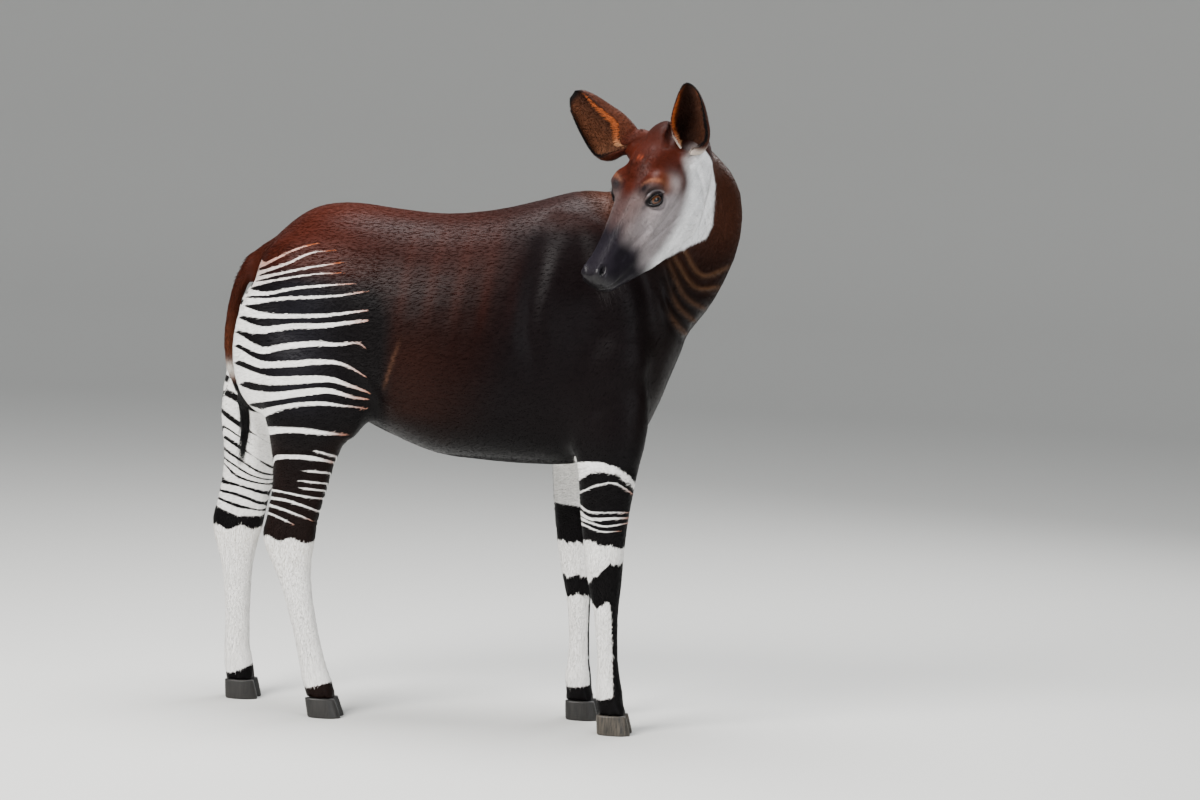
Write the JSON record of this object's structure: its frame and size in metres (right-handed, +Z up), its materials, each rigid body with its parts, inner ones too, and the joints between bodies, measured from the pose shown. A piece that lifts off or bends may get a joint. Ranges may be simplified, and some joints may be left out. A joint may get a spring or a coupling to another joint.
{
  "type": "okapi, life-size standing model",
  "caption": "Life-size okapi standing with its head turned back over its right shoulder, striped haunches and legs, as a still museum model.",
  "frame": {"origin": "on the floor, at the middle of the animal's bounding box", "axes": "+X towards the chest, +Y towards the animal's left, +Z up"},
  "size_m": [1.4777, 0.7036, 1.7841],
  "materials": {
    "body_coat": "short glossy red-brown coat",
    "head_coat": "short soft coat, grey-beige face, white cheeks, dark muzzle",
    "leg_coat": "short coat, white with black-brown stripes",
    "ear_coat": "velvety red-brown with black rim and orange fringe",
    "eye": "wet gloss, dark brown iris",
    "hoof": "dull streaked horn",
    "tail_hair": "black tassel of straight hair"
  },
  "bodies": {
    "root": {"torso": "body_coat", "neck": "body_coat", "head": "head_coat", "ear_right": "ear_coat", "eye_right": "eye", "ear_left": "ear_coat", "eye_left": "eye", "leg_fore_right_upper": "leg_coat", "leg_fore_right_lower": "leg_coat", "hoof_fore_right_a": "hoof", "hoof_fore_right_b": "hoof", "leg_fore_left_upper": "leg_coat", "leg_fore_left_lower": "leg_coat", "hoof_fore_left_a": "hoof", "hoof_fore_left_b": "hoof", "leg_hind_right_upper": "leg_coat", "leg_hind_right_lower": "leg_coat", "hoof_hind_right_a": "hoof", "hoof_hind_right_b": "hoof", "leg_hind_left_upper": "leg_coat", "leg_hind_left_lower": "leg_coat", "hoof_hind_left_a": "hoof", "hoof_hind_left_b": "hoof", "tail": "body_coat", "tail_tuft": "tail_hair"}
  },
  "joints": []
}
